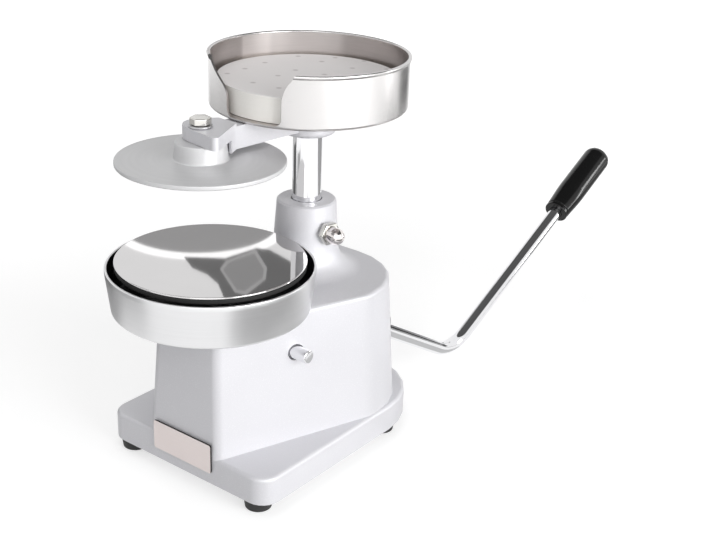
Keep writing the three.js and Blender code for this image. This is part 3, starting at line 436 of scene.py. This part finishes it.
# A smooth copy of a node that keeps its shape.
def smoothed(node, material):
    bm = bmesh.new()
    bm.from_mesh(frame["nodes"][node].data)
    bmesh.ops.remove_doubles(bm, verts=bm.verts, dist=WELD)
    bmesh.ops.dissolve_limit(
        bm, angle_limit=math.radians(0.5), verts=bm.verts, edges=bm.edges, use_dissolve_boundaries=False
    )
    bodies = frame["record"]["behaviour"]["bodies"]
    body = next(name for name, nodes in bodies.items() if node in nodes)
    weighted(finished(node + "_finished", bm, body, material, (node,)))


def dressed(node, material):
    piece = frame["nodes"][node]
    piece.data.materials.clear()
    piece.data.materials.append(material)


# Cuts a closed mesh out of a piece, and applies the cut.
def carve(piece, bm):
    welded(bm, CARVED_WELD)
    cutter = placed("cutter", bm)
    cut = piece.modifiers.new("cut", "BOOLEAN")
    cut.operation = "DIFFERENCE"
    cut.solver = "EXACT"
    cut.object = cutter
    depsgraph = bpy.context.evaluated_depsgraph_get()
    result = bpy.data.meshes.new_from_object(piece.evaluated_get(depsgraph))
    piece.modifiers.remove(cut)
    bpy.data.objects.remove(cutter)
    old = piece.data
    piece.data = result
    bpy.data.meshes.remove(old)
    bm = bmesh.new()
    bm.from_mesh(result)
    bmesh.ops.remove_doubles(bm, verts=bm.verts, dist=CARVED_WELD)
    smooth(bm, SMOOTH_BELOW)
    bm.to_mesh(result)
    bm.free()


# Places, in the millimetres of the drawing.
BOWL_Y = -99.5
BOWL_PLACE = at(0, BOWL_Y)
TURRET = at() @ Matrix.Rotation(math.radians(-5), 4, "Z")
PRESSER_PLACE = TURRET @ Matrix.Translation((0, BOWL_Y * MM, 0))
BOWL_CENTRE = (0, (BOWL_Y + SHIFT_Y) * MM)
POST_CENTRE = (0, SHIFT_Y * MM)
PRESSER_CENTRE = tuple(PRESSER_PLACE.translation[:2])
TRAY_RIM = 285

PAINT = cast_paint()
# The bowl's inner wall, in painted shade: the height of its foot, a radius just past it there, and how fast
# it opens.
BOWL_SHADED_WALL = (0.1293, 0.0673, 0.079)
BOWL_STEEL = turned_steel("turned_bowl", BOWL_CENTRE, tone=0.80, rough=0.33, shaded_inner_wall=BOWL_SHADED_WALL)
PLATE_STEEL = turned_steel(
    "turned_plate", PRESSER_CENTRE, tone=0.66, rough=0.44, line_share=0.35, bump=0.03, metal=0.35
)
TRAY_STEEL = brushed_tray(POST_CENTRE, wall=0.0698, rim=(TRAY_RIM - 1.4) * MM)
MIRROR = mirror_steel(BOWL_CENTRE)
CHROME = chrome("bright_chrome", (0.86, 0.86, 0.875))
WARM_CHROME = chrome("warm_chrome", (0.84, 0.80, 0.785))
STEEL = machined_steel()
BOLT_STEEL = chrome("bolt_steel", (0.66, 0.65, 0.62))
BRONZE = bush_bronze()
GLOSS = black_gloss()
RUBBER = black_rubber("black_rubber", tone=0.012)
SEAL = black_rubber("black_seal", tone=0.006)
LABEL = bare_label()


def make_bowl():
    bore, foot, rim, inner_rim, inner_foot = 8.3, 67.6, 71.1, 69.3, 67.0
    bottom, floor, lip, top = 125.3, 129.3, 153.5, 156.5
    profile = [
        (bore, bottom), (foot, bottom, 2.2), (rim, lip, 0.8), (rim, top, 0.8), (inner_rim, top, 0.7),
        (inner_foot, floor, 1.5), (bore, floor),
    ]
    spun("bowl_turned", profile, BOWL_PLACE, "bowl", BOWL_STEEL, "bowl", 192, closed=True)


def make_disc():
    spigot, hub, inner, edge = 6.3, 9, 60, 64.8
    foot, under, lip, top = 153.3, 155.6, 158.9, 160.3
    profile = [
        (0, under), (spigot, under), (spigot, foot), (hub, foot), (hub, under), (inner, under), (inner, lip),
        (edge, lip, 0.4), (edge, top, 0.5),
    ]
    # Rings that keep the shading of the mirror flat.
    profile += [(radius, top) for radius in (64, 62, 40, 0)]
    spun("disc_polished", profile, BOWL_PLACE, "root", MIRROR, "disc", 192)
    play = 0.3
    inside, outside, low, high = inner + play, 64.6, under, lip - play
    ring = [(inside, low), (outside, low, 0.6), (outside, high, 0.4), (inside, high)]
    spun("disc_seal_ring", ring, BOWL_PLACE, "root", SEAL, "disc_seal", 128, closed=True)


def make_presser():
    edge, boss_foot, boss_top = 56.5, 18.2, 17
    bottom, plate, boss = 225.5, 228.7, 240.7
    profile = [
        (0, bottom), (edge, bottom, 0.8), (edge, plate, 0.9), (boss_foot, plate, 1.2), (boss_top, boss, 1.2),
        (0, boss),
    ]
    spun("presser_plate", profile, PRESSER_PLACE, "turret", PLATE_STEEL, "presser", 192)
    hole, rim, low, high = 4.3, 7.9, 250.3, 251.6
    washer = [(hole, low), (rim, low, 0.2), (rim, high, 0.3), (hole, high)]
    spun(
        "presser_washer_ring", washer, PRESSER_PLACE, "turret", STEEL, "presser_washer", 48,
        closed=True,
    )
    shank, end, head_low, head_high = 4, 229, 251.9, 256.7
    top = head_low + 0.5
    bm = spun_mesh([(0, end), (shank, end, 0.4), (shank, top), (0, top)], 48)
    head = hexagon(bm, 7.3, head_low, head_high, turn=0.35)
    bevelled(bm, list({edge for vert in head for edge in vert.link_edges}), 0.7, 4)
    bm.transform(PRESSER_PLACE)
    welded(bm)
    weighted(finished("presser_bolt_head", bm, "turret", BOLT_STEEL, ("presser_bolt",)))


def make_post():
    bar, groove = 10.8, 9.2
    bottom, groove_low, groove_high, top = 92.5, 96.4, 102, 247.7
    profile = [
        (0, bottom), (bar, bottom, 0.6), (bar, groove_low), (groove, groove_low), (groove, groove_high),
        (bar, groove_high), (bar, top), (0, top),
    ]
    spun("post_bar", profile, TURRET, "turret", CHROME, "post", 96)


def make_tray():
    wall, rolled, inner = 70.2, 71.3, 68.6
    bottom, floor, neck, roll = 248, 250, 282.3, 283.2
    shell = [
        (0, bottom), (wall, bottom, 2.2), (wall, neck, 0.3), (rolled, roll, 0.5), (rolled, TRAY_RIM, 0.9),
        (inner, TRAY_RIM, 0.9), (inner, floor, 1.2), (0, floor),
    ]
    tray = spun("tray_shell", shell, TURRET, "turret", TRAY_STEEL, "tray", 192)
    left, right, slant, knee, past_rim = -8, 35, 268, 272.5, TRAY_RIM + 1.6
    outline = [
        (left, floor), (right, floor), (right, knee), (44, past_rim), (-38, past_rim), (-37, TRAY_RIM),
        (left, slant),
    ]
    near, depth = -80, 33
    bm = bmesh.new()
    face = bm.faces.new([bm.verts.new((x * MM, near * MM, z * MM)) for x, z in outline])
    grown = bmesh.ops.extrude_face_region(bm, geom=[face])["geom"]
    moved = [part for part in grown if isinstance(part, bmesh.types.BMVert)]
    bmesh.ops.translate(bm, vec=(0, depth * MM, 0), verts=moved)
    for x, z, size in ((left, floor, 5), (right, floor, 5), (right, knee, 6), (left, slant, 6)):
        corner = [
            edge for edge in bm.edges
            if all(math.hypot(vert.co.x - x * MM, vert.co.z - z * MM) < WELD for vert in edge.verts)
        ]
        bevelled(bm, corner, size, 8)
    bm.transform(TURRET)
    carve(tray, bm)


def make_paper():
    edge, bottom, top = 64.5, 250.3, 268.3
    profile = [(0, bottom), (edge, bottom), (edge, top, 0.4), (0, top)]
    paper = waxed_paper(POST_CENTRE, top * MM)
    spun("paper_discs", profile, TURRET, "paper", paper, "paper_stack", 128)


# The lever's hinge, and which way its bar runs before and after the bend.
LEVER = (50, 22, 82.6)
BEND_Y = 131.8
DOWN, UP = math.radians(-30.2), math.radians(25.8)
GRIP_FROM_BEND = 187


def along(angle):
    return Vector((0, math.cos(angle), math.sin(angle)))


# The bar is a ring drawn along its run, round the bend and on into the grip.
def make_lever():
    bar_radius, bend_radius, hub_run, bend_steps = 5.75, 47, 8.5, 24
    grip_length, grip_wall, play = 82, 12, 0.3
    hinge = at(*LEVER)
    corner = along(DOWN) * ((BEND_Y - LEVER[1]) / math.cos(DOWN))
    tangent = bend_radius * math.tan((UP - DOWN) / 2)
    start = along(DOWN) * hub_run
    bend_start = corner - along(DOWN) * tangent
    centre = bend_start + along(DOWN + QUARTER) * bend_radius
    bm = bmesh.new()
    ring = bmesh.ops.create_circle(bm, cap_ends=True, segments=40, radius=bar_radius * MM)["verts"]
    facing = Matrix.Translation(start * MM) @ Matrix.Rotation(DOWN - QUARTER, 4, "X")
    bmesh.ops.transform(bm, matrix=facing, verts=ring)
    bm.faces.ensure_lookup_table()

    def extruded(end, step):
        grown = bmesh.ops.extrude_face_region(bm, geom=[end])["geom"]
        faces = [part for part in grown if isinstance(part, bmesh.types.BMFace)]
        bmesh.ops.delete(bm, geom=[end], context="FACES_ONLY")
        moved = list({vert for face in faces for vert in face.verts})
        bmesh.ops.transform(bm, matrix=step, verts=moved)
        return faces[0]

    end = extruded(bm.faces[0], Matrix.Translation((bend_start - start) * MM))
    pivot = Matrix.Translation(centre * MM)
    turn = pivot @ Matrix.Rotation((UP - DOWN) / bend_steps, 4, "X") @ pivot.inverted()
    for _ in range(bend_steps):
        end = extruded(end, turn)
    far = GRIP_FROM_BEND + grip_length - grip_wall - play - tangent
    extruded(end, Matrix.Translation(along(UP) * far * MM))
    bm.transform(hinge)
    welded(bm)
    finished("lever_rod", bm, "lever", CHROME, ("lever_bar",))

    grip_foot = Matrix.Translation((corner + along(UP) * GRIP_FROM_BEND) * MM)
    handle = hinge @ grip_foot @ Matrix.Rotation(UP - QUARTER, 4, "X")
    bore, neck, swell, swell_at = bar_radius + play, 10.8, 12.3, 22
    grip = [
        (bore, 0), (neck, 0, 0.8), (swell, swell_at, 6), (swell, grip_length, 8.6), (0, grip_length),
        (0, grip_length - grip_wall), (bore, grip_length - grip_wall),
    ]
    spun("grip_moulding", grip, handle, "lever", GLOSS, "grip", 96)
    rim, low, high = 10.7, -3.8, -play
    collar = [(bore, low), (rim, low, 0.8), (rim, high, 0.8), (bore, high)]
    spun("grip_collar_ring", collar, handle, "lever", GLOSS, "grip_collar", 96, closed=True)


def make_clamp():
    turned = Matrix.Rotation(math.radians(-11), 4, "Z")
    side = at(0, 0, 158) @ turned @ Matrix.Rotation(QUARTER, 4, "Y")
    face, thick, across_flats, play = 24.3, 4.6, 15.5, 0.3
    bm = bmesh.new()
    hexagon(bm, across_flats / math.sqrt(3), face, face + thick)
    bevelled(bm, list(bm.edges), 0.45, 3)
    bm.transform(side)
    welded(bm)
    finished("clamp_nut_hexagon", bm, "root", BOLT_STEEL, ("clamp_nut",))

    end, shank, head, straight, reach = 11.1, 4, 6.3, 4.7, 11
    start = face + thick + play
    shoulder = start + straight
    dome = [(0, end), (shank, end, 0.4), (shank, start), (head, start, 0.4), (head, shoulder, 1)]
    for angle in range(12, 90, 12):
        turn = math.radians(angle)
        dome.append((head * math.cos(turn), shoulder + head * math.sin(turn)))
    dome.append((0, start + reach))
    spun("clamp_screw_dome", dome, side, "root", WARM_CHROME, "clamp_screw", 64)


def make_pin():
    side = at(0, -69, 95) @ Matrix.Rotation(QUARTER, 4, "Y")
    bar, tip = 5.7, 4.9
    left, step, right = -51.5, 47, 62
    pin = [(0, left), (bar, left, 0.6), (bar, step, 0.4), (tip, step), (tip, right, 0.8), (0, right)]
    spun("rocker_pin_bar", pin, side, "root", CHROME, "rocker_pin", 64)


FEET = [(60.5, -118.5), (-60.5, -118.5), (62, 20), (-62, 20)]


def make_feet():
    recess, floor, hole = 4.6, 4, 2.5
    bottom, top, height = 9.2, 10.4, 7.7
    foot = [
        (recess, floor), (recess, 0, 0.4), (bottom, 0, 0.8), (top, height, 0.6), (hole, height),
        (hole, floor),
    ]
    for i, (x, y) in enumerate(FEET, 1):
        spun(f"foot_{i}_pad", foot, at(x, y), "root", RUBBER, f"foot_{i}", 48, closed=True)


make_bowl()
make_disc()
make_presser()
make_post()
make_tray()
make_paper()
make_lever()
make_clamp()
make_pin()
make_feet()
smoothed("base_casting", PAINT)
smoothed("arm", PAINT)
smoothed("nameplate", LABEL)
STEEL_NODES = [
    "bottom_cover", "disc_column", "column_nut", "lift_rod_right", "lift_rod_left", "lift_nut_right",
    "lift_nut_left", "rocker", "link_pin", "carriage", "post_retaining_screw", "arm_screw", "tray_screw",
    "lever_hub", "cross_shaft", "shaft_collar", "crank", "crank_pin", "foot_screw_1", "foot_screw_2",
    "foot_screw_3", "foot_screw_4",
]
for node in STEEL_NODES:
    dressed(node, STEEL)
BRONZE_NODES = [
    "shaft_bush_right", "shaft_bush_left", "neck_bush_upper", "neck_bush_lower", "lift_bush_right",
    "lift_bush_left",
]
for node in BRONZE_NODES:
    dressed(node, BRONZE)


# Floor, light and camera, in metres.
WHITE = (1, 1, 1, 1)
BLACK = (0, 0, 0)
FLOOR_Z = -0.0005
# Lowest height of the cards that lie on the floor.
CARD_Z = 0.0004
# What a lamp points at, if it names nothing else.
AIM = (0, -0.1, 0.1)


# A pale floor that takes the press's shadow. Seen directly or in metal it also glows, more so far out, so
# that it ends in white.
def make_floor():
    bm = bmesh.new()
    bmesh.ops.create_grid(bm, x_segments=1, y_segments=1, size=6)
    look = Look("pale_floor", Roughness=0.9, Base_Color=(0.5, 0.5, 0.5), Specular_IOR_Level=0.0)
    path = look.node("ShaderNodeLightPath")
    seen = path["Is Camera Ray"].math("MAXIMUM", path["Is Glossy Ray"])
    seen = seen.math("MAXIMUM", path["Is Transmission Ray"])
    far = look.turned_place()[0].above(0.7, soft=0.9)
    glow = look.mix(far, (0.6, 0.6, 0.6), (0.9, 0.9, 0.9))
    look.set(Emission_Color=look.mix(seen, BLACK, glow), Emission_Strength=1.0)
    floor = placed("floor", bm)
    floor.data.materials.append(look.material)
    floor.location.z = FLOOR_Z


def make_lamp(name, place, size, power, target=AIM):
    data = bpy.data.lights.new(name, "AREA")
    data.shape = "RECTANGLE"
    data.size, data.size_y = size
    data.energy = power
    lamp = bpy.data.objects.new(name, data)
    lamp.location = place
    lamp.rotation_mode = "QUATERNION"
    lamp.rotation_quaternion = (Vector(target) - Vector(place)).to_track_quat("-Z", "Y")
    bpy.context.scene.collection.objects.link(lamp)


# Cards show in polished metal alone: they hide nothing from the camera and cast no shadow.
def make_card(name, bm, tone):
    look = Look(name, Base_Color=BLACK, Specular_IOR_Level=0.0, Emission_Color=(tone, tone, tone))
    look.set(Emission_Strength=1.0)
    card = placed(name, bm)
    card.data.materials.append(look.material)
    card.visible_camera = False
    card.visible_diffuse = False
    card.visible_shadow = False


def sheet(width, height):
    bm = bmesh.new()
    bmesh.ops.create_grid(bm, x_segments=1, y_segments=1, size=0.5)
    bm.transform(Matrix.Diagonal((width, height, 1, 1)))
    return bm


# Stands on the floor and faces the press.
def standing_card(name, x, y, width, height, tone):
    bm = sheet(width, height)
    facing = Matrix.Rotation(math.atan2(-0.15 - y, -x) - QUARTER, 4, "Z")
    bm.transform(Matrix.Translation((x, y, height / 2)) @ facing @ Matrix.Rotation(QUARTER, 4, "X"))
    make_card(name, bm, tone)


def level_card(name, x, y, size, tone, z=CARD_Z):
    bm = sheet(*size)
    bm.transform(Matrix.Translation((x, y, z)))
    make_card(name, bm, tone)


def cut_card(name, corners, z, tone):
    bm = bmesh.new()
    bm.faces.new([bm.verts.new((x, y, z)) for x, y in corners])
    make_card(name, bm, tone)


def round_card(name, middle, radius, tone):
    bm = bmesh.new()
    bmesh.ops.create_circle(bm, cap_ends=True, segments=96, radius=radius)
    bm.transform(Matrix.Translation(middle))
    make_card(name, bm, tone)


# Plain grey light all round, and white where it is seen directly, in metal or through glass.
def make_world():
    world = bpy.data.worlds.new("studio")
    bpy.context.scene.world = world
    world.use_nodes = True
    tree = world.node_tree
    tree.nodes.clear()
    path = tree.nodes.new("ShaderNodeLightPath")
    seen = path.outputs["Is Camera Ray"]
    for ray in ("Is Glossy Ray", "Is Transmission Ray"):
        either = tree.nodes.new("ShaderNodeMath")
        either.operation = "MAXIMUM"
        tree.links.new(seen, either.inputs[0])
        tree.links.new(path.outputs[ray], either.inputs[1])
        seen = either.outputs[0]
    both = tree.nodes.new("ShaderNodeMixShader")
    tree.links.new(seen, both.inputs["Fac"])
    for place, strength in ((1, 0.4), (2, 1)):
        light = tree.nodes.new("ShaderNodeBackground")
        light.inputs["Color"].default_value = WHITE
        light.inputs["Strength"].default_value = strength
        tree.links.new(light.outputs[0], both.inputs[place])
    output = tree.nodes.new("ShaderNodeOutputWorld")
    tree.links.new(both.outputs[0], output.inputs["Surface"])


# The camera that was fitted to the photograph.
PHOTO_WIDTH = 716
FOCAL_PIXELS = 1210.896
SENSOR = 36
CAMERA_PLACE = (0.5277961, -0.7454638, 0.4758553)
CAMERA_RIGHT = Vector((0.7920036, 0.6094014, 0.0368853))
CAMERA_UP = Vector((-0.266054, 0.290135, 0.9192589))


def make_camera():
    data = bpy.data.cameras.new("camera")
    data.sensor_width = SENSOR
    data.sensor_fit = "HORIZONTAL"
    data.lens = FOCAL_PIXELS / PHOTO_WIDTH * SENSOR
    data.clip_start, data.clip_end = 0.01, 50
    back = CAMERA_RIGHT.cross(CAMERA_UP)
    turn = Matrix((CAMERA_RIGHT, CAMERA_UP, back)).transposed().to_4x4()
    camera = bpy.data.objects.new("camera", data)
    bpy.context.scene.collection.objects.link(camera)
    camera.matrix_world = Matrix.Translation(CAMERA_PLACE) @ turn
    bpy.context.scene.camera = camera


make_floor()
make_world()
make_camera()
make_lamp("side_softbox", (1.7, -0.25, 0.55), size=(1.2, 0.9), power=26, target=(0, -0.1, 0.12))
make_lamp("top_softbox", (-0.5, -0.2, 1.7), size=(1.2, 1.2), power=6)
make_lamp("front_softbox", (0.9, -1.3, 0.8), size=(1.0, 1.0), power=5.5)
make_lamp("strip_light", (1.0, 1.0, 0.24), size=(0.12, 0.5), power=2.2, target=(0.05, 0.1, 0.15))

# Grey cards round the press, which give the chrome and the steel their dark streaks.
level_card("left_table_flag", -0.40, -0.2, size=(0.34, 0.60), tone=0.42)
standing_card("left_upright_flag", -0.31, -0.21, width=0.17, height=0.12, tone=0.12)
standing_card("front_upright_flag", -0.16, -0.40, width=0.16, height=0.11, tone=0.45)
level_card("left_far_flag", -0.80, -0.25, size=(0.44, 1.0), tone=0.6)
level_card("right_table_flag", 0.31, -0.1, size=(0.24, 0.45), tone=0.3)
level_card("bar_flag", 0.12, -0.01, size=(0.12, 0.15), tone=0.62, z=0.0006)
level_card("right_far_flag", 0.36, 0.50, size=(0.60, 0.44), tone=0.4)
standing_card("back_flag", 0.1, 0.8, width=0.5, height=0.1, tone=0.06)
level_card("ceiling_flag", 0.1, 0.2, size=(2.2, 1.2), tone=0.1, z=1.0)

# Cards behind the press, cut and hung so that the flat disc shows the lens, the band and the panel that the
# photograph shows in it.
round_card("round_reflector_rim", (-0.489, 0.282, 0.404), radius=0.108, tone=1.6)
round_card("round_reflector", (-0.491, 0.283, 0.40), radius=0.098, tone=0.42)
BAND = [
    (-0.424, 0.188), (-0.393, 0.171), (-0.368, 0.169), (-0.34, 0.158), (-0.3, 0.128), (-0.27, 0.134),
    (-0.263, 0.213), (-0.3, 0.257), (-0.364, 0.273), (-0.38, 0.267), (-0.386, 0.218),
]
PANEL = [
    (-0.365, 0.187), (-0.377, 0.211), (-0.373, 0.258), (-0.327, 0.226), (-0.306, 0.2), (-0.293, 0.153),
    (-0.307, 0.15),
]
INNER_PANEL = [
    (-0.357, 0.184), (-0.368, 0.206), (-0.364, 0.245), (-0.324, 0.217), (-0.308, 0.197), (-0.299, 0.157),
    (-0.308, 0.154),
]
cut_card("arm_flag", BAND, z=0.398, tone=0.2)
cut_card("panel_edge", PANEL, z=0.396, tone=0.5)
cut_card("panel", INNER_PANEL, z=0.394, tone=0.36)

bpy.context.scene.view_settings.view_transform = "Standard"
